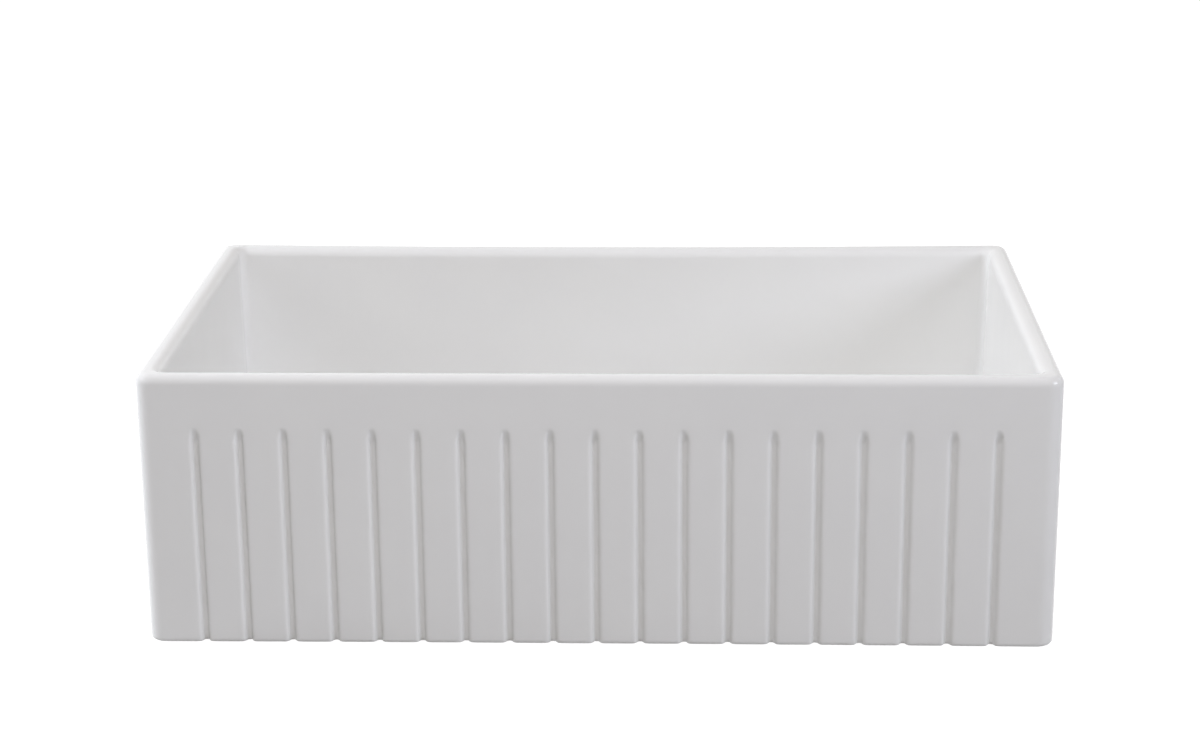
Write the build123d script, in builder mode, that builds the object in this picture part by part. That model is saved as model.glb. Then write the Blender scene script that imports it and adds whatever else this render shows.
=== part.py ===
from build123d import *
import os
from math import atan, cos, pi, radians, sin, tan

# Farmhouse apron front sink: a fluted fireclay basin with a lift-out basket strainer waste.
# Millimetres. The origin is the centre of the basin's flat underside, +X runs along the width,
# -Y is the apron front that faces the room and +Z is up. The outlet's axis is the Z axis.

# ---- Basin ----
basin_width = 838.0
basin_depth = 480.0
basin_height = 260.0
side_wall = 21.0
back_wall = 20.0
front_wall = 19.5
corner_radius = 16.0  # upright outer corners
rim_outer_radius = 9.0
rim_inner_radius = 10.0
rim_flat = 0.5  # least flat width of the rim's top
base_radius = 4.0
bowl_radius = 8.0  # of its upright corners and of the cove round its floor
bowl_draft = 1.0  # degrees that the bowl's walls lean in towards the floor
floor_thickness = 27.0  # at the outlet, where it is least
floor_fall = 8.0  # from the foot of the walls to the outlet
dish_corner_radius = 60.0

# Flutes of the apron front: round grooves whose sides roll out into the flat front
flute_pitch = 40.35
apron_end = 50.0  # least plain width at each end of the row
flute_shift = -2.0  # of the whole row, from the middle of the front
flute_width = 18.4
flute_sink = 5.2
flute_root_radius = 4.0
flute_top_gap = 46.5  # from the rim down to the flutes' rounded tops
flute_margin = 5.0  # that the cutting shape stands out in front

# ---- Waste body, in the basin's outlet ----
outlet_clearance = 2.0  # of the basin's hole round the cup's thread
recess_clearance = 2.0  # round the flange
flange_lap = 11.5  # of the flange over the edge of the hole
flange_thickness = 2.0
flange_drop = 0.3  # of the flange's top below the bowl's floor
flange_edge = 0.8
putty_thickness = 1.2
cup_diameter = 86.0  # over the thread
mouth_wall = 2.0  # from the thread's outside to the mouth
ledge_drop = 10.7  # from the flange's top down to the ledge that carries the basket
ledge_width = 2.5
cup_depth = 64.7  # from the flange's top down to the cup's floor
cup_floor = 4.0
cup_corner = 4.0
outlet_bore_diameter = 40.0
seat_width = 3.5
seat_height = 1.0
neck_diameter = 47.8  # G 1 1/2 thread
neck_length = 20.0
neck_upper_bore = 4.0  # depth below the cup's underside of the shoulder that carries the spider
shoulder_width = 1.5
thread_pitch = 2.5
thread_sink = 0.8
thread_spare = 3.5  # of the cup's thread below the locknut

# ---- Clamping stack under the basin ----
relief_depth = 2.0  # of the shallow recess in the underside round the outlet
relief_clearance = 6.0  # of that recess round the locknut's lugs
gasket_lap = 13.0  # beyond the hole's edge
gasket_thickness = 3.0
ring_lap = 11.0  # beyond the hole's edge
ring_thickness = 1.5
stack_clearance = 0.5  # round the cup's thread
locknut_wall = 11.0
locknut_height = 14.0
locknut_lugs = 8
lug_width = 11.0
lug_reach = 6.0
nut_clearance = 0.05  # between a nut and its thread
nut_chamfer = 0.8

# ---- Spider in the outlet neck ----
spider_thickness = 2.0
spider_rim_width = 2.2
spider_clearance = 0.1
arm_width = 3.0
arm_count = 4
hub_diameter = 11.0
hub_rise = 1.0  # above the spider's rim
hub_drop = 5.0  # below the spider's rim

# ---- Tailpiece ----
tail_diameter = 38.1
tail_wall = 1.0
tail_length = 98.0  # below its flange
tail_flange_thickness = 2.0
tail_flange_clearance = 0.7  # inside the coupling nut
washer_thickness = 3.0
washer_clearance = 0.4  # inside the coupling nut
coupling_wall = 6.0
coupling_sides = 8
coupling_grip = 14.0  # height of the neck's thread that the nut covers
coupling_lip = 2.5
coupling_clearance = 0.8  # between the nut's lip and the tube

# ---- Basket ----
seat_gap = 0.3  # between pieces of different bodies that rest on each other
basket_clearance = 0.4  # round the basket's rim
basket_rim_thickness = 1.6
basket_wall = 1.2
basket_gap = 2.0  # between the basket's side and the cup
basket_depth = 28.3  # from under the rim to the floor's underside
basket_corner = 3.0
side_slots = 24
side_slot_width = 3.2
side_slot_margin = 5.6  # above and below the slots, to the rim and to the rounded corner
floor_hole_diameter = 3.4
floor_ring_step = 6.5  # between the rings of holes
floor_hole_pitch = 6.5  # along a ring

# ---- Guide sleeve of the stopper, in the basket's floor ----
sleeve_diameter = 12.0
sleeve_flange_width = 3.0
sleeve_flange_thickness = 1.5
sleeve_nut_flats = 18.0
sleeve_nut_height = 3.5
ring_section = 1.6  # of the O-ring that grips the stem
ring_slack = 0.1

# ---- Stopper ----
stem_diameter = 6.0
running_clearance = 0.06  # of the stem in its sleeve and in the hub
fixed_clearance = 0.02  # of pieces fastened on the stem
stopper_travel = 9.0
stopper_gap = 0.3  # left between the stopper and the sleeve at full travel
seal_overhang = 2.5  # beyond the seat
seal_thickness = 4.0
seal_edge = 1.0
plate_inset = 4.0  # from the rubber disc's edge
plate_thickness = 1.5
stem_nut_flats = 10.0
stem_nut_height = 3.5
stem_below_hub = 12.0
knob_diameter = 20.0
knob_neck_diameter = 11.0
knob_height = 12.0
knob_rise = 18.8  # from the basket's floor to the knob's underside
knob_socket = 8.0
knob_round = 2.5

# ---- Heights that follow, from the underside of the basin ----
rim_z = basin_height
wall_foot_z = floor_thickness + floor_fall
flange_top_z = floor_thickness - flange_drop
flange_low_z = flange_top_z - flange_thickness
recess_z = flange_low_z - putty_thickness
ledge_z = flange_top_z - ledge_drop
cup_floor_z = flange_top_z - cup_depth
cup_low_z = cup_floor_z - cup_floor
shoulder_z = cup_low_z - neck_upper_bore
neck_low_z = cup_low_z - neck_length
tail_flange_z = neck_low_z - washer_thickness
tail_shoulder_z = tail_flange_z - tail_flange_thickness
tail_low_z = tail_shoulder_z - tail_length
basket_rim_z = ledge_z + seat_gap
basket_low_z = basket_rim_z - basket_depth
basket_floor_z = basket_low_z + basket_wall
seal_low_z = cup_floor_z + seat_height + seat_gap
plate_low_z = seal_low_z + seal_thickness
plate_nut_z = plate_low_z + plate_thickness
stopper_top_z = plate_nut_z + stem_nut_height
sleeve_low_z = stopper_top_z + stopper_travel + stopper_gap
hub_low_z = shoulder_z - hub_drop
stem_low_z = hub_low_z - stem_below_hub
knob_low_z = basket_floor_z + knob_rise
gasket_z = relief_depth - gasket_thickness
ring_z = gasket_z - ring_thickness
locknut_z = ring_z - locknut_height
thread_end_z = locknut_z - thread_spare

# ---- Radii that follow ----
cup_radius = cup_diameter / 2
outlet_radius = cup_radius + outlet_clearance
flange_radius = outlet_radius + flange_lap
locknut_radius = cup_radius + locknut_wall
relief_radius = locknut_radius + lug_reach + relief_clearance
mouth_radius = cup_radius - mouth_wall
cup_bore_radius = mouth_radius - ledge_width
neck_radius = neck_diameter / 2
outlet_bore_radius = outlet_bore_diameter / 2
neck_bore_radius = outlet_bore_radius - shoulder_width
tail_radius = tail_diameter / 2
coupling_bore_radius = neck_radius + nut_clearance
basket_rim_radius = mouth_radius - basket_clearance
basket_radius = cup_bore_radius - basket_gap
seal_radius = outlet_bore_radius + seat_width + seal_overhang
sleeve_radius = sleeve_diameter / 2
stem_radius = stem_diameter / 2
guide_radius = stem_radius + running_clearance
fixed_radius = stem_radius + fixed_clearance


def turned(points):
    """A solid of revolution about the Z axis, from the half section's (radius, height) corners."""
    with BuildSketch(Plane.XZ) as half_section:
        with BuildLine():
            Polyline(*points, close=True)
        make_face()
    revolve(half_section.sketch, axis=Axis.Z)


def washer(outer_radius, inner_radius, low_z, height):
    """A flat ring about the Z axis."""
    with BuildSketch(Plane.XY.offset(low_z)) as ring_face:
        Circle(outer_radius)
        Circle(inner_radius, mode=Mode.SUBTRACT)
    extrude(ring_face.sketch, amount=height)


def flat_sided_nut(flats, sides, bore_radius, low_z, height):
    """A nut with flat sides and broken outer edges."""
    with BuildSketch(Plane.XY.offset(low_z)) as nut_face:
        RegularPolygon(flats / 2, sides, major_radius=False)
        Circle(bore_radius, mode=Mode.SUBTRACT)
    nut = extrude(nut_face.sketch, amount=height)
    chamfer(nut.edges().filter_by(GeomType.LINE).filter_by(Axis.Z, reverse=True), nut_chamfer)


def thread_profile(radius, top_z, low_z):
    """Corners of a thread's ridges down the outside of a half section."""
    ridges = int((top_z - low_z) / thread_pitch)
    points = []
    for ridge in range(ridges):
        ridge_z = top_z - ridge * thread_pitch
        points.append((radius, ridge_z))
        points.append((radius - thread_sink, ridge_z - thread_pitch / 2))
    points.append((radius, top_z - ridges * thread_pitch))
    return points


def finish(piece, name):
    """Names a finished piece and writes it."""
    piece.part.label = name
    export_step(piece.part, f"parts/{name}.step")


os.makedirs("parts", exist_ok=True)

# ---- Basin: one fireclay casting ----
bowl_width = basin_width - 2 * side_wall
bowl_length = basin_depth - front_wall - back_wall
bowl_y = (front_wall - back_wall) / 2
bowl_depth = rim_z - wall_foot_z
wall_lean = bowl_depth * tan(radians(bowl_draft))
dish_inset = wall_lean + bowl_radius
recess_radius = flange_radius + recess_clearance
# A thin wall limits both roundings of the rim, so that some of its top stays flat.
thin_wall = min(side_wall, back_wall, front_wall)
rim_share = min(1.0, (thin_wall - rim_flat) / (rim_outer_radius + rim_inner_radius))
flute_half = flute_width / 2
flute_count = int((basin_width - 2 * apron_end) / flute_pitch) + 1
flute_top_z = rim_z - flute_top_gap - flute_half
# Half a flute is a root arc and a lip arc that meet at one slope, so the lip's radius follows.
flute_slope = 2 * atan(flute_sink / flute_half)
flute_lip_radius = flute_half / sin(flute_slope) - flute_root_radius
turn_x = flute_root_radius * sin(flute_slope)
turn_y = flute_sink - flute_root_radius * (1 - cos(flute_slope))

with BuildPart() as flute:
    # The straight groove, drawn with the flat front along X
    with BuildSketch():
        with BuildLine():
            left_lip = TangentArc((-flute_half, 0), (-turn_x, turn_y), tangent=(1, 0))
            root = TangentArc((-turn_x, turn_y), (turn_x, turn_y), tangent=left_lip % 1)
            right_lip = TangentArc((turn_x, turn_y), (flute_half, 0), tangent=root % 1)
            Polyline((flute_half, 0), (flute_half, -flute_margin), (-flute_half, -flute_margin), (-flute_half, 0))
        make_face()
    extrude(amount=flute_top_z)
    # Its rounded top, turned about the line that points out of the front
    with BuildSketch(Plane.XY.offset(flute_top_z)):
        with BuildLine():
            half_root = TangentArc((0, flute_sink), (turn_x, turn_y), tangent=(1, 0))
            half_lip = TangentArc((turn_x, turn_y), (flute_half, 0), tangent=half_root % 1)
            Polyline((flute_half, 0), (flute_half, -flute_margin), (0, -flute_margin), (0, flute_sink))
        make_face()
    revolve(axis=Axis((0, 0, flute_top_z), (0, 1, 0)), revolution_arc=360)

with BuildPart() as hollow:
    # The bowl's space, with leaning walls and every edge but the upper four rounded
    with BuildSketch(Plane.XY.offset(rim_z)):
        Rectangle(bowl_width, bowl_length)
    extrude(amount=-bowl_depth, taper=bowl_draft)
    fillet(hollow.edges().sort_by(Axis.Z)[:-4], bowl_radius)

with BuildPart() as basin:
    with BuildSketch():
        RectangleRounded(basin_width, basin_depth, corner_radius)
    extrude(amount=basin_height)
    with Locations((0, bowl_y, 0)):
        add(hollow.part, mode=Mode.SUBTRACT)

    # The floor falls from the walls to the outlet
    with BuildSketch(Plane.XY.offset(wall_foot_z).move(Location((0, bowl_y, 0)))):
        RectangleRounded(bowl_width - 2 * dish_inset, bowl_length - 2 * dish_inset, dish_corner_radius)
    with BuildSketch(Plane.XY.offset(floor_thickness)):
        RectangleRounded(2 * recess_radius, 2 * recess_radius, 0.98 * recess_radius)
    loft(ruled=True, mode=Mode.SUBTRACT)

    # The outlet, with a recess above for the waste's flange and a shallow one below for its gasket
    with BuildSketch(Plane.XY.offset(wall_foot_z)):
        Circle(recess_radius)
    extrude(amount=recess_z - wall_foot_z, mode=Mode.SUBTRACT)
    with BuildSketch():
        Circle(outlet_radius)
    extrude(amount=wall_foot_z, mode=Mode.SUBTRACT)
    with BuildSketch():
        Circle(relief_radius)
    extrude(amount=relief_depth, mode=Mode.SUBTRACT)

    # The flutes, which run out at the foot of the apron
    with Locations((flute_shift, -basin_depth / 2)):
        with GridLocations(flute_pitch, 0, flute_count, 1):
            add(flute.part, mode=Mode.SUBTRACT)

    # Softened edges: the rim inside and outside, and the foot
    rim = basin.faces().sort_by(Axis.Z)[-1]
    fillet(rim.outer_wire().edges(), rim_share * rim_outer_radius)
    rim = basin.faces().sort_by(Axis.Z)[-1]
    fillet(rim.inner_wires()[0].edges(), rim_share * rim_inner_radius)
    foot = basin.faces().sort_by(Axis.Z)[0]
    fillet(foot.outer_wire().edges(), base_radius)
finish(basin, "basin")

# ---- Waste body: a cast cup with a flange above, a thread outside and a threaded neck below ----
with BuildPart() as strainer_body:
    turned(
        [
            (flange_radius - flange_edge, flange_top_z),
            (flange_radius, flange_top_z - flange_edge),
            (flange_radius, flange_low_z),
            (cup_radius - thread_sink, flange_low_z),
            (cup_radius - thread_sink, relief_depth + thread_pitch / 2),
            *thread_profile(cup_radius, relief_depth, thread_end_z),
            (cup_radius - thread_sink, thread_end_z - thread_sink),
            (cup_radius - thread_sink, cup_low_z + cup_corner),
            (cup_radius - thread_sink - cup_corner, cup_low_z),
            (neck_radius - thread_sink, cup_low_z),
            *thread_profile(neck_radius, shoulder_z, neck_low_z),
            (neck_radius - thread_sink, neck_low_z),
            (neck_bore_radius, neck_low_z),
            (neck_bore_radius, shoulder_z),
            (outlet_bore_radius, shoulder_z),
            (outlet_bore_radius, cup_floor_z + seat_height),
            (outlet_bore_radius + seat_width, cup_floor_z + seat_height),
            (outlet_bore_radius + seat_width, cup_floor_z),
            (cup_bore_radius - cup_corner, cup_floor_z),
            (cup_bore_radius, cup_floor_z + cup_corner),
            (cup_bore_radius, ledge_z),
            (mouth_radius, ledge_z),
            (mouth_radius, flange_top_z - flange_edge),
            (mouth_radius + flange_edge, flange_top_z),
        ]
    )
finish(strainer_body, "strainer_body")

# ---- Sealing and clamping stack ----
stack_bore = cup_radius + stack_clearance

with BuildPart() as flange_seal:
    washer(flange_radius - flange_edge, outlet_radius, recess_z, putty_thickness)
finish(flange_seal, "flange_seal")

with BuildPart() as under_gasket:
    washer(outlet_radius + gasket_lap, stack_bore, gasket_z, gasket_thickness)
finish(under_gasket, "under_gasket")

with BuildPart() as friction_ring:
    washer(outlet_radius + ring_lap, stack_bore, ring_z, ring_thickness)
finish(friction_ring, "friction_ring")

with BuildPart() as locknut:
    with BuildSketch(Plane.XY.offset(locknut_z)):
        Circle(locknut_radius)
        with PolarLocations(locknut_radius, locknut_lugs):
            Rectangle(2 * lug_reach, lug_width)
        Circle(cup_radius + nut_clearance, mode=Mode.SUBTRACT)
    extrude(amount=locknut_height)
    chamfer(locknut.faces().sort_by(Axis.Z)[0].outer_wire().edges(), nut_chamfer)
finish(locknut, "locknut")

# ---- Spider: a cross in the outlet neck, with the hub that guides the stopper's stem ----
spider_radius = outlet_bore_radius - spider_clearance
spider_bore_radius = spider_radius - spider_rim_width
hub_height = hub_drop + spider_thickness + hub_rise

with BuildPart() as spider:
    washer(spider_radius, spider_bore_radius, shoulder_z, spider_thickness)
    with BuildSketch(Plane.XY.offset(shoulder_z)):
        arm_middle = (hub_diameter / 2 + spider_bore_radius) / 2
        with PolarLocations(arm_middle, arm_count):
            Rectangle(spider_bore_radius - hub_diameter / 2 + spider_rim_width, arm_width)
    extrude(amount=spider_thickness)
    with BuildSketch(Plane.XY.offset(hub_low_z)):
        Circle(hub_diameter / 2)
    extrude(amount=hub_height)
    with BuildSketch(Plane.XY.offset(hub_low_z)):
        Circle(guide_radius)
    extrude(amount=hub_height, mode=Mode.SUBTRACT)
finish(spider, "spider")

# ---- Tailpiece, its washer and its coupling nut ----
tail_flange_radius = coupling_bore_radius - tail_flange_clearance

with BuildPart() as tailpiece_washer:
    washer(coupling_bore_radius - washer_clearance, neck_bore_radius, tail_flange_z, washer_thickness)
finish(tailpiece_washer, "tailpiece_washer")

with BuildPart() as tailpiece:
    turned(
        [
            (tail_flange_radius, tail_flange_z),
            (tail_flange_radius, tail_shoulder_z),
            (tail_radius, tail_shoulder_z),
            (tail_radius, tail_low_z),
            (tail_radius - tail_wall, tail_low_z),
            (tail_radius - tail_wall, tail_flange_z),
        ]
    )
finish(tailpiece, "tailpiece")

coupling_top_z = neck_low_z + coupling_grip
coupling_low_z = tail_shoulder_z - coupling_lip

with BuildPart() as coupling_nut:
    flat_sided_nut(
        2 * (coupling_bore_radius + coupling_wall),
        coupling_sides,
        tail_radius + coupling_clearance,
        coupling_low_z,
        coupling_top_z - coupling_low_z,
    )
    with BuildSketch(Plane.XY.offset(tail_shoulder_z)):
        Circle(coupling_bore_radius)
    extrude(amount=coupling_top_z - tail_shoulder_z, mode=Mode.SUBTRACT)
finish(coupling_nut, "coupling_nut")

# ---- Basket: a perforated cup that hangs by its rim on the waste's ledge ----
floor_radius = basket_radius - basket_corner
slot_z = (basket_rim_z + basket_low_z + basket_corner) / 2
slot_straight = basket_depth - basket_corner - 2 * side_slot_margin - side_slot_width
sleeve_flange_radius = sleeve_diameter / 2 + sleeve_flange_width
hole_rings = int((floor_radius - sleeve_flange_radius) / floor_ring_step)

with BuildPart() as basket_cup:
    turned(
        [
            (basket_rim_radius, basket_rim_z + basket_rim_thickness),
            (basket_rim_radius, basket_rim_z),
            (basket_radius, basket_rim_z),
            (basket_radius, basket_low_z + basket_corner),
            (floor_radius, basket_low_z),
            (sleeve_radius + fixed_clearance, basket_low_z),
            (sleeve_radius + fixed_clearance, basket_floor_z),
            (floor_radius - basket_wall / 2, basket_floor_z),
            (basket_radius - basket_wall, basket_floor_z + basket_corner - basket_wall / 2),
            (basket_radius - basket_wall, basket_rim_z + basket_rim_thickness),
        ]
    )
    with Locations((0, 0, slot_z)):
        with PolarLocations(basket_radius, side_slots):
            Box(4 * basket_wall, side_slot_width, slot_straight, mode=Mode.SUBTRACT)
    for end_z in (slot_z - slot_straight / 2, slot_z + slot_straight / 2):
        with Locations((0, 0, end_z)):
            with PolarLocations(basket_radius, side_slots):
                Cylinder(side_slot_width / 2, 4 * basket_wall, rotation=(0, 90, 0), mode=Mode.SUBTRACT)
    with BuildSketch(Plane.XY.offset(basket_low_z)):
        for ring_index in range(hole_rings):
            ring_radius = sleeve_flange_radius + floor_ring_step * (ring_index + 0.5)
            with PolarLocations(ring_radius, int(2 * pi * ring_radius / floor_hole_pitch)):
                Circle(floor_hole_diameter / 2)
    extrude(amount=basket_wall, mode=Mode.SUBTRACT)
finish(basket_cup, "basket_cup")

# ---- Guide sleeve with its nut and its O-ring ----
groove_radius = guide_radius + ring_section + ring_slack
groove_z = (basket_low_z - sleeve_nut_height + sleeve_low_z) / 2
groove_half = (ring_section + ring_slack) / 2

with BuildPart() as basket_sleeve:
    turned(
        [
            (sleeve_flange_radius, basket_floor_z + sleeve_flange_thickness),
            (sleeve_flange_radius, basket_floor_z),
            (sleeve_radius, basket_floor_z),
            (sleeve_radius, sleeve_low_z),
            (guide_radius, sleeve_low_z),
            (guide_radius, groove_z - groove_half),
            (groove_radius, groove_z - groove_half),
            (groove_radius, groove_z + groove_half),
            (guide_radius, groove_z + groove_half),
            (guide_radius, basket_floor_z + sleeve_flange_thickness),
        ]
    )
finish(basket_sleeve, "basket_sleeve")

with BuildPart() as sleeve_nut:
    flat_sided_nut(
        sleeve_nut_flats,
        6,
        sleeve_radius + nut_clearance,
        basket_low_z - sleeve_nut_height,
        sleeve_nut_height,
    )
finish(sleeve_nut, "sleeve_nut")

with BuildPart() as sleeve_o_ring:
    with BuildSketch(Plane.XZ):
        with Locations((guide_radius + ring_section / 2, groove_z)):
            Circle(ring_section / 2)
    revolve(axis=Axis.Z)
finish(sleeve_o_ring, "sleeve_o_ring")

# ---- Stopper: a rubber disc clamped between two nuts on a sliding stem with a knob ----
with BuildPart() as stopper_stem:
    with BuildSketch(Plane.XY.offset(stem_low_z)):
        Circle(stem_radius)
    extrude(amount=knob_low_z + knob_socket - stem_low_z)
    chamfer(stopper_stem.faces().sort_by(Axis.Z)[0].edges(), nut_chamfer)
finish(stopper_stem, "stopper_stem")

with BuildPart() as stopper_knob:
    turned(
        [
            (fixed_radius, knob_low_z),
            (knob_neck_diameter / 2, knob_low_z),
            (knob_neck_diameter / 2, knob_low_z + knob_height / 3),
            (knob_diameter / 2, knob_low_z + knob_height / 2),
            (knob_diameter / 2, knob_low_z + knob_height),
            (0, knob_low_z + knob_height),
            (0, knob_low_z + knob_socket),
            (fixed_radius, knob_low_z + knob_socket),
        ]
    )
    fillet(stopper_knob.faces().sort_by(Axis.Z)[-1].edges(), knob_round)
finish(stopper_knob, "stopper_knob")

with BuildPart() as stopper_seal:
    washer(seal_radius, fixed_radius, seal_low_z, seal_thickness)
    chamfer(stopper_seal.faces().sort_by(Axis.Z)[-1].outer_wire().edges(), seal_edge)
finish(stopper_seal, "stopper_seal")

with BuildPart() as stopper_plate:
    washer(seal_radius - plate_inset, fixed_radius, plate_low_z, plate_thickness)
    fillet(stopper_plate.faces().sort_by(Axis.Z)[-1].outer_wire().edges(), plate_thickness / 2)
finish(stopper_plate, "stopper_plate")

with BuildPart() as plate_nut:
    flat_sided_nut(stem_nut_flats, 6, fixed_radius, plate_nut_z, stem_nut_height)
finish(plate_nut, "plate_nut")

with BuildPart() as stem_nut:
    flat_sided_nut(stem_nut_flats, 6, fixed_radius, seal_low_z - stem_nut_height, stem_nut_height)
finish(stem_nut, "stem_nut")
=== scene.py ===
from math import cos, pi, radians, sin, tan

import bmesh
import bpy
import numpy as np
from mathutils import Matrix, Vector


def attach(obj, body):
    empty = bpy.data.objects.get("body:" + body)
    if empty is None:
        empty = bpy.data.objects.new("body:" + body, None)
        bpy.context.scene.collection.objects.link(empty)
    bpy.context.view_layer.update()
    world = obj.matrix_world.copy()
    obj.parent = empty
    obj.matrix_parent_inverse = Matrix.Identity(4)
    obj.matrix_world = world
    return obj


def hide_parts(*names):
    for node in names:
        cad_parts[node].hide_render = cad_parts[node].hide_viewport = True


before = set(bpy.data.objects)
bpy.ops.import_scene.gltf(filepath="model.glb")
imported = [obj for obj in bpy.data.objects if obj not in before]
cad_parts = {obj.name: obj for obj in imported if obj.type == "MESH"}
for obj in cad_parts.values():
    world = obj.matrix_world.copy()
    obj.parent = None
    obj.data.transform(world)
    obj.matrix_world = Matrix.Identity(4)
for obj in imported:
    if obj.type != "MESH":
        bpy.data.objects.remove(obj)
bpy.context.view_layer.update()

# Farmhouse apron front sink: a fluted fireclay basin with a lift-out basket strainer waste.
# Sizes are in millimetres and become metres where a mesh is made. The basin stands on z = 0, its
# apron front faces -Y and the outlet's axis is the Z axis.


# ---- Basin ----
# One casting of fireclay, about 59 kg, glazed white inside and out. It is fired standing on its
# unglazed foot, so its back rim sags by 2.3 mm and its flats are never quite flat. The flutes of the
# apron are pressed by the mould, and the glaze softens every edge of them.
basin_width, basin_depth, basin_height = 838.0, 480.0, 260.0
side_wall, back_wall, front_wall = 21.0, 20.0, 19.5
corner_radius = 16.0
rim_outer_radius, rim_inner_radius = 9.0, 10.0
foot_radius = 4.0
bowl_radius = 8.0
bowl_draft = radians(1.0)
wall_foot_z, outlet_floor_z = 35.0, 27.0
dish_corner_radius = 60.0
recess_radius, recess_z = 58.5, 23.5
outlet_radius = 45.0
relief_radius, relief_z = 66.0, 2.0
back_rim_sag, foot_arch = 2.3, 0.6

flute_pitch, flute_count, flute_shift = 40.35, 19, -2.0
flute_sink, flute_half_reach = 5.2, 3.1
flute_top_z, flute_run_out = basin_height - 48.0, 17.0

MM = 0.001


def spread(start, end, steps):
    """Evenly spaced numbers from start to end."""
    return [start + (end - start) * step / steps for step in range(steps + 1)]


# Columns of the front follow the flutes: close over each groove, few on the flats between.
groove_steps = [0.7, 1.4, 2.0, 2.6, 3.1, 3.6, 4.1, 4.6, 5.1, 5.7, 6.4, 7.3, 8.4, 10.0, 12.5, 16.0]
front_straight = basin_width / 2 - corner_radius
groove_margin = 14.0
groove_middles = [flute_shift + flute_pitch * (i - (flute_count - 1) / 2) for i in range(flute_count)]
front_columns = {-front_straight, front_straight,
                 *spread(-front_straight, groove_middles[0] - groove_margin, 3),
                 *spread(groove_middles[-1] + groove_margin, front_straight, 3)}
for middle in groove_middles:
    front_columns |= {middle, middle + flute_pitch / 2 if middle < groove_middles[-1] else middle}
    for step in groove_steps:
        front_columns |= {middle - step, middle + step}
front_columns = np.array(sorted({round(x, 4) for x in front_columns})) / front_straight
side_columns = np.array(spread(-1, 1, 30))
back_columns = np.array(spread(-1, 1, 60))
corner_steps = 9


def outline(half_x, half_y, corner, middle_y=0.0):
    """Points round a rounded rectangle, from the front's left end, with the body on the left hand."""
    flat_x, flat_y = half_x - corner, half_y - corner
    runs = [
        (front_columns * flat_x, np.full(len(front_columns), -half_y), -90, (flat_x, -flat_y)),
        (np.full(len(side_columns), half_x), side_columns * flat_y, 0, (flat_x, flat_y)),
        (-back_columns * flat_x, np.full(len(back_columns), half_y), 90, (-flat_x, flat_y)),
        (np.full(len(side_columns), -half_x), -side_columns * flat_y, 180, (-flat_x, -flat_y)),
    ]
    points = []
    for run_x, run_y, start, (centre_x, centre_y) in runs:
        points.append(np.stack([run_x, run_y], 1))
        turns = np.radians(start + 90 * np.arange(1, corner_steps) / corner_steps)
        arc_x, arc_y = centre_x + corner * np.cos(turns), centre_y + corner * np.sin(turns)
        points.append(np.stack([arc_x, arc_y], 1))
    return np.concatenate(points) + (0, middle_y)


# Loops round the basin, from the outlet's edge underneath, out to the foot, up the walls, over the
# rim, down into the bowl and back down the outlet
bowl_x, bowl_y = basin_width / 2 - side_wall, (basin_depth - front_wall - back_wall) / 2
bowl_middle = (front_wall - back_wall) / 2
foot_inset = tan(bowl_draft) * (basin_height - wall_foot_z) + bowl_radius
dish_edge = outline(bowl_x - foot_inset, bowl_y - foot_inset, dish_corner_radius, bowl_middle)
rays = dish_edge / np.linalg.norm(dish_edge, axis=1)[:, None]


def outer_loop(inset):
    """The basin's outside, drawn in by the given inset."""
    return outline(basin_width / 2 - inset, basin_depth / 2 - inset, max(corner_radius - inset, 1.0))


def bowl_loop(inset, lean=0.0):
    """The bowl's walls, drawn in by an inset that sharpens the corners and a lean that doesn't."""
    reach_x, reach_y = bowl_x - inset - lean, bowl_y - inset - lean
    return outline(reach_x, reach_y, max(bowl_radius - inset, 0.2), bowl_middle)


# A loop this far from an edge keeps the shading of the flat beside it clean.
support = 0.6
relief_edge = rays * relief_radius
loops = [(rays * outlet_radius, relief_z), (rays * (relief_radius - support), relief_z),
         (relief_edge, relief_z), (relief_edge, 0.0)]
foot_flat_inset = 12.0
for part in (0.04, 0.35, 0.7, 1.0):
    loops.append((relief_edge + (outer_loop(foot_flat_inset) - relief_edge) * part, 0.0))
loops.append((outer_loop(foot_radius + flute_sink + 1.0), 0.0))
for turn in spread(0, pi / 2, 4):
    loops.append((outer_loop(foot_radius * (1 - sin(turn))), foot_radius * (1 - cos(turn))))
flute_full_z = flute_top_z - flute_run_out
wall_heights = [foot_radius + 0.7, *spread(10, flute_full_z - 4, 9)]
wall_heights += [*spread(flute_full_z - 1.5, flute_top_z + 1.5, 15)]
wall_heights += [222.0, 232.0, 242.0, basin_height - rim_outer_radius - 0.7]
loops += [(outer_loop(0.0), height) for height in wall_heights]
for turn in spread(0, pi / 2, 9):
    height = basin_height - rim_outer_radius * (1 - sin(turn))
    loops.append((outer_loop(rim_outer_radius * (1 - cos(turn))), height))
inner_reach = rim_inner_radius / tan((pi / 2 + bowl_draft) / 2)
rim_outside, rim_inside = outer_loop(rim_outer_radius), bowl_loop(-inner_reach)
loops += [(rim_outside + (rim_inside - rim_outside) * part, basin_height) for part in (0.2, 0.8)]
for turn in spread(0, pi / 2 - bowl_draft, 9):
    height = basin_height - rim_inner_radius * (1 - cos(turn))
    loops.append((bowl_loop(rim_inner_radius * sin(turn) - inner_reach), height))
wall_low_z = wall_foot_z + bowl_radius * (1 + sin(bowl_draft))
bowl_heights = [basin_height - rim_inner_radius - 0.9, *spread(238, wall_low_z + 8, 8)]
for height in [*bowl_heights, wall_low_z + 0.9]:
    loops.append((bowl_loop(0.0, tan(bowl_draft) * (basin_height - height)), height))
for turn in spread(0, pi / 2 - bowl_draft, 9):
    inset = bowl_radius * (cos(bowl_draft) - cos(turn + bowl_draft))
    height = wall_low_z - bowl_radius * (sin(turn + bowl_draft) - sin(bowl_draft))
    loops.append((bowl_loop(inset, tan(bowl_draft) * (basin_height - wall_low_z)), height))
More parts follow.
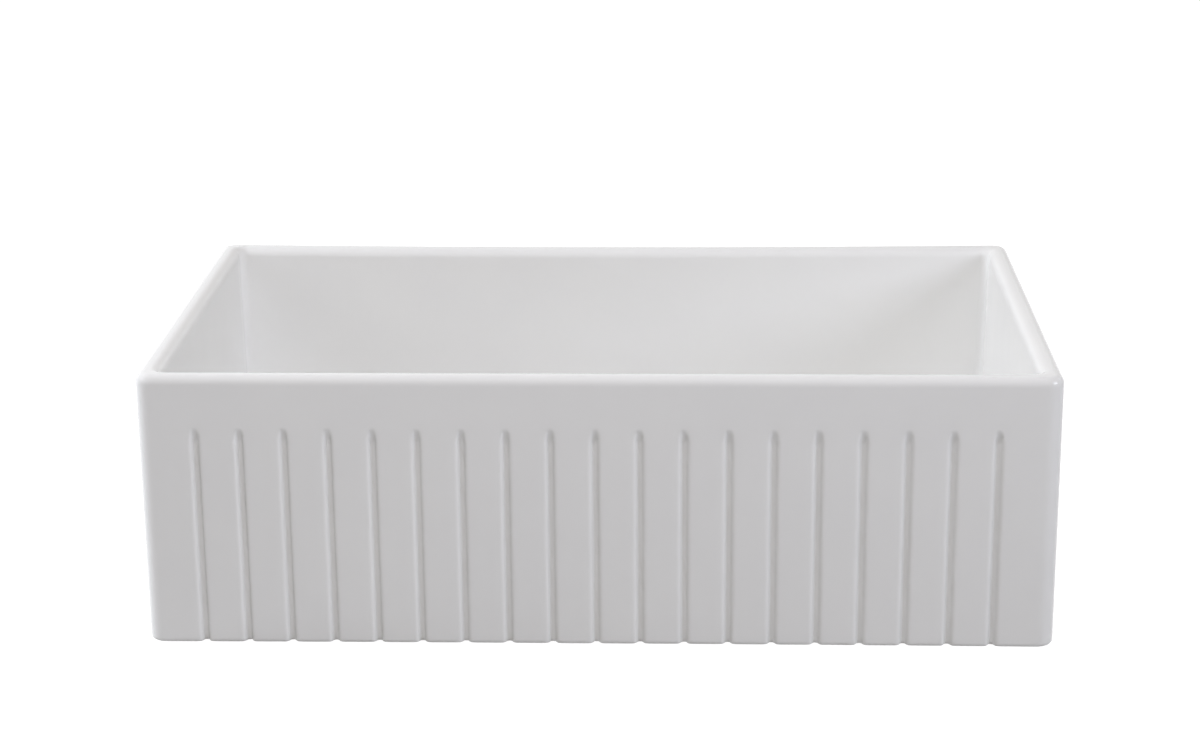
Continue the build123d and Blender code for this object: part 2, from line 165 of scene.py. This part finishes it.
cove_end = loops[-1][0]
loops += [(cove_end + (dish_edge - cove_end) * part, wall_foot_z) for part in (0.1, 0.5)]
# The floor falls evenly to the outlet, and levels out where it meets the walls.
recess_edge = rays * recess_radius
level_start = 0.85
fall_rate = 2 / (1 + level_start)
for part in (1.0, 0.97, 0.94, 0.9, 0.85, 0.7, 0.5, 0.3, 0.15, 0.06):
    eased = fall_rate * part
    if part > level_start:
        eased = 1 - fall_rate * (1 - part) ** 2 / (1 - level_start) / 2
    height = outlet_floor_z + (wall_foot_z - outlet_floor_z) * eased
    loops.append((recess_edge + (dish_edge - recess_edge) * part, height))
edge_softness = 1.2
for turn in spread(0, pi / 2, 4):
    reach = recess_radius + edge_softness * (1 - sin(turn))
    loops.append((rays * reach, outlet_floor_z - edge_softness * (1 - cos(turn))))
loops += [(recess_edge, recess_z + 0.5), (recess_edge, recess_z),
          (rays * (recess_radius - support), recess_z), (rays * (outlet_radius + support), recess_z),
          (rays * outlet_radius, recess_z), (rays * outlet_radius, recess_z - support),
          (rays * outlet_radius, relief_z + support)]

# Firing: the back rim sags and the foot arches towards the middle of their length.
columns = len(rays)
points = np.concatenate([np.column_stack([loop, np.full(columns, height)]) for loop, height in loops])
towards_middle = 1 - (points[:, 0] / (basin_width / 2)) ** 2
backwards, rise = points[:, 1] / basin_depth + 0.5, points[:, 2] / basin_height
points[:, 2] += towards_middle * (foot_arch * (1 - rise) ** 4 - back_rim_sag * backwards * rise ** 4)
faces = []
for row in range(len(loops)):
    here, there = row * columns, (row + 1) % len(loops) * columns
    for column in range(columns):
        after = (column + 1) % columns
        faces.append((here + column, here + after, there + after, there + column))


def mesh_of(name, vertices_mm, faces):
    """A closed, smooth mesh from points in millimetres, with its faces turned outwards."""
    mesh = bpy.data.meshes.new(name)
    mesh.from_pydata([tuple(v) for v in np.asarray(vertices_mm) * MM], [], faces)
    shell = bmesh.new()
    shell.from_mesh(mesh)
    bmesh.ops.remove_doubles(shell, verts=shell.verts, dist=0.001 * MM)
    bmesh.ops.recalc_face_normals(shell, faces=shell.faces)
    shell.to_mesh(mesh)
    shell.free()
    mesh.shade_smooth()
    return mesh


def linear(sheet_colour):
    """Linear colour of an sRGB hex value."""
    parts = [int(sheet_colour[i : i + 2], 16) / 255 for i in (1, 3, 5)]
    return (*[c / 12.92 if c <= 0.04045 else ((c + 0.055) / 1.055) ** 2.4 for c in parts], 1.0)


def put(tree, kind, sockets=None, **settings):
    """Adds a node with its settings, and fills its inputs with values, nodes or nodes' outputs."""
    made = tree.nodes.new(kind)
    for setting, value in settings.items():
        setattr(made, setting, value)
    for key, value in (sockets or {}).items():
        if isinstance(value, bpy.types.Node):
            value = value.outputs[0]
        if isinstance(value, bpy.types.NodeSocket):
            tree.links.new(value, made.inputs[key])
        else:
            made.inputs[key].default_value = value
    return made


def new_material(name):
    """An empty node material and its tree to fill."""
    material = bpy.data.materials.new(name)
    material.use_nodes = True
    material.node_tree.nodes.clear()
    return material, material.node_tree


# Vitreous glaze, sprayed on and fired: a glass skin over white engobe, glossy, with a long soft
# ripple, a fine orange peel and the odd iron speck. The underside is bare buff fireclay.
glaze, tree = new_material("vitreous white glaze on fireclay")
place = put(tree, "ShaderNodeTexCoord").outputs["Object"]
mottle = put(tree, "ShaderNodeTexNoise", {"Vector": place, "Scale": 1 / (70 * MM), "Detail": 3.0})
whites = put(tree, "ShaderNodeMix", {0: mottle, 6: linear("#F1F1F0"), 7: linear("#F5F5F3")},
             data_type="RGBA").outputs[2]
# Specks of up to a millimetre, in some of the cells of about 45 mm
cells = put(tree, "ShaderNodeTexVoronoi", {"Vector": place, "Scale": 1 / (45 * MM)}).outputs
chance = put(tree, "ShaderNodeSeparateColor", {"Color": cells["Color"]})
speck_reach = put(tree, "ShaderNodeMapRange", {0: chance, 1: 0.55, 2: 1.0, 3: 0.0, 4: 0.011})
speck = put(tree, "ShaderNodeMapRange",
            {0: cells["Distance"], 1: speck_reach, 2: 0.0, 3: 0.0, 4: 0.55})
glaze_colour = put(tree, "ShaderNodeMix", {0: speck, 6: whites, 7: linear("#B9AE9C")},
                   data_type="RGBA").outputs[2]
ripple = put(tree, "ShaderNodeTexNoise",
             {"Vector": place, "Scale": 1 / (55 * MM), "Detail": 1.0, "Roughness": 0.4})
peel = put(tree, "ShaderNodeTexNoise", {"Vector": place, "Scale": 1 / (3.5 * MM), "Detail": 2.0})
rippled = put(tree, "ShaderNodeBump", {"Height": ripple, "Distance": 0.12 * MM})
peeled = put(tree, "ShaderNodeBump", {"Height": peel, "Distance": 0.006 * MM, "Normal": rippled})
gloss = put(tree, "ShaderNodeMapRange", {0: mottle, 1: 0.3, 2: 0.7, 3: 0.035, 4: 0.06})
glass = put(tree, "ShaderNodeBsdfPrincipled",
            {"Base Color": glaze_colour, "Roughness": gloss, "IOR": 1.51, "Normal": peeled})
# The bare foot: fireclay body with its sandy grog showing, up to an uneven glaze line
grog = put(tree, "ShaderNodeTexVoronoi", {"Vector": place, "Scale": 1 / (1.6 * MM)}).outputs
body_tone = put(tree, "ShaderNodeTexNoise", {"Vector": place, "Scale": 1 / (18 * MM), "Detail": 5.0})
clay_tone = put(tree, "ShaderNodeMix", {0: body_tone, 6: linear("#D9CDB6"), 7: linear("#E9E0CD")},
                data_type="RGBA").outputs[2]
clay_colour = put(tree, "ShaderNodeMix", {0: 0.18, 6: clay_tone, 7: grog["Color"]},
                  data_type="RGBA", blend_type="MULTIPLY").outputs[2]
grain = put(tree, "ShaderNodeBump",
            {"Height": grog["Distance"], "Distance": 0.12 * MM, "Strength": 0.7})
clay = put(tree, "ShaderNodeBsdfPrincipled",
           {"Base Color": clay_colour, "Roughness": 0.88, "IOR": 1.5, "Normal": grain})
height = put(tree, "ShaderNodeSeparateXYZ", {"Vector": place}).outputs["Z"]
wander = put(tree, "ShaderNodeTexNoise", {"Vector": place, "Scale": 1 / (25 * MM), "Detail": 3.0})
glaze_line = put(tree, "ShaderNodeMapRange",
                 {0: wander, 1: 0.3, 2: 0.7, 3: 0.15 * MM, 4: 0.6 * MM})
above_line = put(tree, "ShaderNodeMath", {0: height, 1: glaze_line}, operation="SUBTRACT")
glazed = put(tree, "ShaderNodeMapRange", {0: above_line, 1: 0.0, 2: 0.15 * MM})
coating = put(tree, "ShaderNodeMixShader", {0: glazed, 1: clay, 2: glass})
put(tree, "ShaderNodeOutputMaterial", {"Surface": coating})

# The mould presses the flutes: across a flute the apron sinks by a bell-shaped groove, and at the
# flute's top the groove runs out over a slope.
press = bpy.data.node_groups.new("pressed flutes", "GeometryNodeTree")
press.interface.new_socket("Geometry", in_out="INPUT", socket_type="NodeSocketGeometry")
for size in ("Front", "Pitch", "Last", "Shift", "Sink", "Half reach", "Top height", "Run out",
             "Ripple length", "Ripple depth"):
    press.interface.new_socket(size, in_out="INPUT", socket_type="NodeSocketFloat")
press.interface.new_socket("Glaze", in_out="INPUT", socket_type="NodeSocketMaterial")
press.interface.new_socket("Geometry", in_out="OUTPUT", socket_type="NodeSocketGeometry")

given = put(press, "NodeGroupInput").outputs
spot = put(press, "GeometryNodeInputPosition").outputs[0]
across, deep, up = put(press, "ShaderNodeSeparateXYZ", {0: spot}).outputs
# How far a point is from the nearest flute's middle line, with the flutes counted from the left
from_middle = put(press, "ShaderNodeMath", {0: across, 1: given["Shift"]}, operation="SUBTRACT")
pitches = put(press, "ShaderNodeMath", {0: from_middle, 1: given["Pitch"]}, operation="DIVIDE")
half_row = put(press, "ShaderNodeMath", {0: given["Last"], 1: 0.5}, operation="MULTIPLY")
from_first = put(press, "ShaderNodeMath", {0: pitches, 1: half_row}, operation="ADD")
rounded = put(press, "ShaderNodeMath", {0: from_first}, operation="ROUND")
not_below = put(press, "ShaderNodeMath", {0: rounded, 1: 0.0}, operation="MAXIMUM")
nearest = put(press, "ShaderNodeMath", {0: not_below, 1: given["Last"]}, operation="MINIMUM")
off_middle = put(press, "ShaderNodeMath", {0: from_first, 1: nearest}, operation="SUBTRACT")
aside = put(press, "ShaderNodeMath", {0: off_middle, 1: given["Pitch"]}, operation="MULTIPLY")
# The groove's depth: full up to where its slope begins, and nothing above its top
top = given["Top height"]
full_below = put(press, "ShaderNodeMath", {0: top, 1: given["Run out"]}, operation="SUBTRACT")
depth = put(press, "ShaderNodeMapRange", {0: up, 1: full_below, 2: top, 3: given["Sink"], 4: 0.0},
            interpolation_type="SMOOTHSTEP")
# The bell: the depth divided by one plus the fourth power of how far aside the point is
bell_power = 4.0
either_side = put(press, "ShaderNodeMath", {0: aside}, operation="ABSOLUTE")
reaches = put(press, "ShaderNodeMath", {0: either_side, 1: given["Half reach"]}, operation="DIVIDE")
spreading = put(press, "ShaderNodeMath", {0: reaches, 1: bell_power}, operation="POWER")
divisor = put(press, "ShaderNodeMath", {0: 1.0, 1: spreading}, operation="ADD")
sink = put(press, "ShaderNodeMath", {0: depth, 1: divisor}, operation="DIVIDE")
on_front = put(press, "ShaderNodeMath", {0: deep, 1: given["Front"]}, operation="LESS_THAN")
front_sink = put(press, "ShaderNodeMath", {0: sink, 1: on_front}, operation="MULTIPLY")
pressed_by = put(press, "ShaderNodeCombineXYZ", {"Y": front_sink})
# Drying and firing leave a long shallow ripple, taken off the surface so that the size stays.
waves = put(press, "ShaderNodeMath", {0: 1.0, 1: given["Ripple length"]}, operation="DIVIDE")
unevenness = put(press, "ShaderNodeTexNoise", {"Vector": spot, "Scale": waves, "Detail": 1.0})
inwards = put(press, "ShaderNodeMath", {0: given["Ripple depth"], 1: -1.0}, operation="MULTIPLY")
taken = put(press, "ShaderNodeMath", {0: unevenness, 1: inwards}, operation="MULTIPLY")
outwards = put(press, "GeometryNodeInputNormal")
rippled_by = put(press, "ShaderNodeVectorMath", {0: outwards, "Scale": taken}, operation="SCALE")
moved_by = put(press, "ShaderNodeVectorMath", {0: pressed_by, 1: rippled_by}, operation="ADD")
moved = put(press, "GeometryNodeSetPosition", {"Geometry": given["Geometry"], "Offset": moved_by})
real = put(press, "GeometryNodeRealizeInstances", {"Geometry": moved})
coated = put(press, "GeometryNodeSetMaterial", {"Geometry": real, "Material": given["Glaze"]})
put(press, "NodeGroupOutput", {"Geometry": coated})


def run_tree(name, base_mesh, tree, values):
    """The plain mesh that a node tree with the given inputs makes of a base mesh."""
    base = bpy.data.objects.new(name + " base", base_mesh)
    bpy.context.scene.collection.objects.link(base)
    modifier = base.modifiers.new(tree.name, "NODES")
    modifier.node_group = tree
    for socket in tree.interface.items_tree:
        if socket.item_type == "SOCKET" and socket.in_out == "INPUT" and socket.name in values:
            modifier[socket.identifier] = values[socket.name]
    graph = bpy.context.evaluated_depsgraph_get()
    mesh = bpy.data.meshes.new_from_object(base.evaluated_get(graph))
    bpy.data.objects.remove(base)
    mesh.name = name
    piece = bpy.data.objects.new(name, mesh)
    bpy.context.scene.collection.objects.link(piece)
    return piece


basin = run_tree("glazed_basin", mesh_of("basin blank", points, faces), press, {
    "Front": (-basin_depth / 2 + foot_radius + 0.1) * MM,
    "Pitch": flute_pitch * MM,
    "Last": flute_count - 1.0,
    "Shift": flute_shift * MM,
    "Sink": flute_sink * MM,
    "Half reach": flute_half_reach * MM,
    "Top height": flute_top_z * MM,
    "Run out": flute_run_out * MM,
    "Ripple length": 180 * MM,
    "Ripple depth": 0.3 * MM,
    "Glaze": glaze,
})
basin.data.set_sharp_from_angle(angle=radians(50))
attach(basin, "basin")
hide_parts("basin")


# ---- Waste body and spider ----
# A cup pressed from stainless steel with a threaded neck welded on, and the small cross in its
# outlet that guides the stopper. Its flange is buffed; the pressing leaves faint rings in the cup.
def turned_metal(name, dark, light, spacing_mm, smooth, rough, mark_depth_mm):
    """Bright metal with marks round the Z axis that spread its reflections without dulling them."""
    metal, tree = new_material(name)
    place = put(tree, "ShaderNodeTexCoord").outputs["Object"]
    # The marks vary over radius and height but hardly round the axis, as a lathe leaves them.
    x, y, z = put(tree, "ShaderNodeSeparateXYZ", {0: place}).outputs
    flat = put(tree, "ShaderNodeCombineXYZ", {0: x, 1: y})
    radius = put(tree, "ShaderNodeVectorMath", {0: flat}, operation="LENGTH").outputs["Value"]
    angle = put(tree, "ShaderNodeMath", {0: y, 1: x}, operation="ARCTAN2")
    drift_per_radian = 2 * MM
    drift = put(tree, "ShaderNodeMath", {0: angle, 1: drift_per_radian}, operation="MULTIPLY")
    along = put(tree, "ShaderNodeCombineXYZ", {0: radius, 1: z, 2: drift})
    rings = put(tree, "ShaderNodeTexNoise",
                {"Vector": along, "Scale": 1 / (spacing_mm * MM), "Detail": 3.0})
    haze = put(tree, "ShaderNodeTexNoise", {"Vector": place, "Scale": 1 / (9 * MM), "Detail": 4.0})
    tone = put(tree, "ShaderNodeMix", {0: haze, 6: linear(dark), 7: linear(light)},
               data_type="RGBA").outputs[2]
    spread_by = put(tree, "ShaderNodeMath", {0: rings, 1: haze}, operation="MULTIPLY")
    gloss = put(tree, "ShaderNodeMapRange", {0: spread_by, 1: 0.12, 2: 0.42, 3: smooth, 4: rough})
    marks = put(tree, "ShaderNodeBump", {"Height": rings, "Distance": mark_depth_mm * MM})
    sheen = {"Base Color": tone, "Metallic": 1.0, "Roughness": gloss, "Normal": marks}
    surface = put(tree, "ShaderNodeBsdfPrincipled", sheen)
    put(tree, "ShaderNodeOutputMaterial", {"Surface": surface})
    return metal


def dress(material, *names):
    """Gives the finish to the pieces that are carried over from the CAD model."""
    for name in names:
        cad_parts[name].material_slots[0].material = material


# Grade 304 sheet: slightly warm grey. The rings of this and of the other metals are really finer,
# and are drawn at 0.45 mm and more so that they show.
buffed = turned_metal("buffed stainless steel", "#B9B8B4", "#CBCAC6", 0.5, 0.16, 0.3, 0.004)
dress(buffed, "strainer_body", "spider")


# ---- Seals and clamping stack ----
# Putty under the flange, a rubber gasket and a fibre ring under the basin, and a cast locknut that
# draws them all together.
def grainy(name, dark, light, patch_mm, grain_mm, grain_depth_mm, smooth, rough, ior, **more):
    """A dull surface with patches of tone and an even grain."""
    skin, tree = new_material(name)
    place = put(tree, "ShaderNodeTexCoord").outputs["Object"]
    patches = put(tree, "ShaderNodeTexNoise",
                  {"Vector": place, "Scale": 1 / (patch_mm * MM), "Detail": 5.0})
    grain = put(tree, "ShaderNodeTexNoise",
                {"Vector": place, "Scale": 1 / (grain_mm * MM), "Detail": 2.0})
    tone = put(tree, "ShaderNodeMix", {0: patches, 6: linear(dark), 7: linear(light)},
               data_type="RGBA").outputs[2]
    gloss = put(tree, "ShaderNodeMapRange", {0: patches, 1: 0.3, 2: 0.7, 3: smooth, 4: rough})
    bumps = put(tree, "ShaderNodeBump", {"Height": grain, "Distance": grain_depth_mm * MM})
    surface = put(tree, "ShaderNodeBsdfPrincipled",
                  {"Base Color": tone, "Roughness": gloss, "IOR": ior, "Normal": bumps, **more})
    put(tree, "ShaderNodeOutputMaterial", {"Surface": surface})
    return skin


# Linseed putty, wiped off by hand: a dull buff
putty = grainy("linseed putty", "#BDB39C", "#CFC7B3", 6, 0.9, 0.05, 0.6, 0.8, 1.48)
dress(putty, "flange_seal")
# Moulded rubber: nearly black, with a low sheen
rubber = grainy("EPDM rubber, moulded", "#19191A", "#232324", 8, 0.5, 0.01, 0.5, 0.65, 1.52)
dress(rubber, "under_gasket", "sleeve_o_ring")
# Vulcanised fibre: dull red-brown board
fibre = grainy("vulcanised fibre", "#7A4B33", "#8F5E42", 4, 0.7, 0.02, 0.55, 0.75, 1.5)
dress(fibre, "friction_ring")
# Die-cast zinc alloy, tumbled: soft pits of about 1 mm and blurred reflections
tumbled = grainy("zinc alloy, die cast and tumbled", "#9C9C9A", "#B3B3B0", 12, 1.0, 0.015,
                 0.34, 0.5, 1.5, Metallic=1.0)
dress(tumbled, "locknut")


# ---- Tailpiece, its washer and its coupling nut ----
# A drawn brass tube with chromium plate, sealed by a plastic washer under a plated slip nut. The
# small nuts of the stopper are plated in the same way.
# Moulded polythene: milky white with a soft shine
polythene = grainy("polythene, moulded", "#DFDFDA", "#EAEAE6", 10, 0.8, 0.006, 0.3, 0.42, 1.51)
dress(polythene, "tailpiece_washer")
# Chromium plate: a cool mirror with hardly a mark
chromium = turned_metal("chromium plate on drawn brass", "#C9CCD0", "#D6D8DB", 0.8, 0.04, 0.09, 0.001)
dress(chromium, "tailpiece")
# Brushed nickel plate: warmer than chromium, with blurred reflections
nickel = turned_metal("nickel plate, brushed", "#B4B2AC", "#C4C2BC", 0.6, 0.2, 0.34, 0.004)
dress(nickel, "coupling_nut", "plate_nut", "stem_nut")


# ---- Basket and its guide sleeve ----
# A perforated cup pressed from thin stainless sheet, with a turned sleeve nutted into its floor
# that guides the turned parts of the stopper.
# Thin sheet, brushed while it spins: bright grey with soft reflections
pressed = turned_metal("pressed stainless steel, brushed", "#BFBEBA", "#CECDCA",
                       0.45, 0.14, 0.27, 0.003)
dress(pressed, "basket_cup")
# Bar stock from the lathe: the same grey with sharper reflections
turned = turned_metal("turned stainless steel", "#BDBDBA", "#CDCDCB", 0.6, 0.1, 0.2, 0.002)
dress(turned, "basket_sleeve", "sleeve_nut", "stopper_stem", "stopper_knob", "stopper_plate")


# ---- Stopper disc ----
# A moulded rubber disc, clamped to the stem between the plate and a nut. It closes the outlet when
# the knob is pressed down.
# Moulded nitrile: black and smooth
nitrile = grainy("nitrile rubber, moulded", "#1D1E1F", "#28292A", 10, 0.6, 0.006, 0.38, 0.5, 1.52)
dress(nitrile, "stopper_seal")


# ---- Floor, light and camera ----
# A white studio table, with a hole under the basin that the waste hangs through. Softboxes and soft
# white surroundings light the sink, and the camera looks down at its rim.
floor_mesh = bpy.data.meshes.new("studio floor")
floor_reach, floor_hole, floor_sides = 14.0, (relief_radius - 1.0) * MM, 48
floor_ring = [Vector((cos(turn), sin(turn), 0)) for turn in spread(0, 2 * pi, floor_sides)[:-1]]
floor_spots = [spot * reach for reach in (floor_hole, floor_reach) for spot in floor_ring]
floor_faces = []
for side in range(floor_sides):
    after = (side + 1) % floor_sides
    floor_faces.append((side, side + floor_sides, after + floor_sides, after))
floor_mesh.from_pydata(floor_spots, [], floor_faces)
floor = bpy.data.objects.new("studio_floor", floor_mesh)
bpy.context.scene.collection.objects.link(floor)


def background_rays(tree):
    """1 where the camera looks, straight or by way of gloss and glass, and 0 for soft light."""
    path = put(tree, "ShaderNodeLightPath").outputs
    by_way = {0: path["Is Glossy Ray"], 1: path["Is Transmission Ray"]}
    reflected = put(tree, "ShaderNodeMath", by_way, operation="ADD")
    all_rays = {0: path["Is Camera Ray"], 1: reflected}
    return put(tree, "ShaderNodeMath", all_rays, operation="ADD", use_clamp=True)


# Mid-grey paper that is lifted to white where it is seen, and clear from underneath
sweep, tree = new_material("white studio sweep")
paper = put(tree, "ShaderNodeBsdfDiffuse", {"Color": linear("#B4B4B4")})
lift = put(tree, "ShaderNodeEmission", {"Color": linear("#FFFFFF"), "Strength": 0.93})
brighter = put(tree, "ShaderNodeAddShader", {0: paper, 1: lift})
top_side = put(tree, "ShaderNodeMixShader", {0: background_rays(tree), 1: paper, 2: brighter})
clear = put(tree, "ShaderNodeBsdfTransparent")
under = put(tree, "ShaderNodeNewGeometry").outputs["Backfacing"]
sheet = put(tree, "ShaderNodeMixShader", {0: under, 1: top_side, 2: clear})
put(tree, "ShaderNodeOutputMaterial", {"Surface": sheet})
floor_mesh.materials.append(sweep)

studio = bpy.data.worlds.new("white studio")
bpy.context.scene.world = studio
studio.use_nodes = True
tree = studio.node_tree
tree.nodes.clear()
soft = put(tree, "ShaderNodeBackground", {"Color": linear("#FFF3DF"), "Strength": 0.18})
white = put(tree, "ShaderNodeBackground", {"Color": linear("#FFFFFF"), "Strength": 1.0})
backdrop = put(tree, "ShaderNodeMixShader", {0: background_rays(tree), 1: soft, 2: white})
put(tree, "ShaderNodeOutputWorld", {"Surface": backdrop})

# Softboxes round the sink: direction from it in degrees (0 in front, 90 right), distance, width and
# height in metres, brightness as seen (1 is white), tint, and whether the glaze mirrors it
softboxes = {
    "key_left": (267, 26, 3.2, 1.56, 1.42, 10.9, "#F2F6FF", False),
    "front_top": (356, 54.9, 2.20, 0.9, 0.9, 5.8, "#FCFAFF", False),
    "front_right": (58, 22, 4.0, 1.7, 1.4, 7.1, "#EEF2FF", True),
    "back_fill": (180, 30, 2.8, 1.2, 1.2, 2.6, "#FFFFFF", False),
}
aimed_at = Vector((0, 0, 0.2))
for name, setup in softboxes.items():
    azimuth, elevation, distance, wide, tall, brightness, tint, mirrored = setup
    lamp = bpy.data.lights.new(name, "AREA")
    lamp.shape, lamp.size, lamp.size_y = "RECTANGLE", wide, tall
    lamp.energy = brightness * pi * wide * tall
    lamp.color = linear(tint)[:3]
    softbox = bpy.data.objects.new(name, lamp)
    bpy.context.scene.collection.objects.link(softbox)
    softbox.visible_glossy = mirrored
    turn, rise = radians(azimuth), radians(elevation)
    towards = Vector((sin(turn) * cos(rise), -cos(turn) * cos(rise), sin(rise)))
    softbox.location = aimed_at + towards * distance
    softbox.rotation_euler = towards.to_track_quat("Z", "Y").to_euler()

# The camera stands a little right of the middle and looks down at the rim.
camera = bpy.data.objects.new("camera", bpy.data.cameras.new("camera"))
bpy.context.scene.collection.objects.link(camera)
bpy.context.scene.camera = camera
camera.data.sensor_width = 36.0
camera.data.lens = 77.762
camera.data.clip_start, camera.data.clip_end = 0.1, 60.0
look_down, look_left, lean = radians(17.2679), radians(2.1750), radians(-0.4950)
camera.location = (0.08741, -2.45085, 0.95492)
aim = Matrix.Rotation(look_left, 3, "Z") @ Matrix.Rotation(pi / 2 - look_down, 3, "X")
camera.rotation_euler = (aim @ Matrix.Rotation(lean, 3, "Z")).to_euler()
bpy.context.scene.view_settings.view_transform = "Standard"
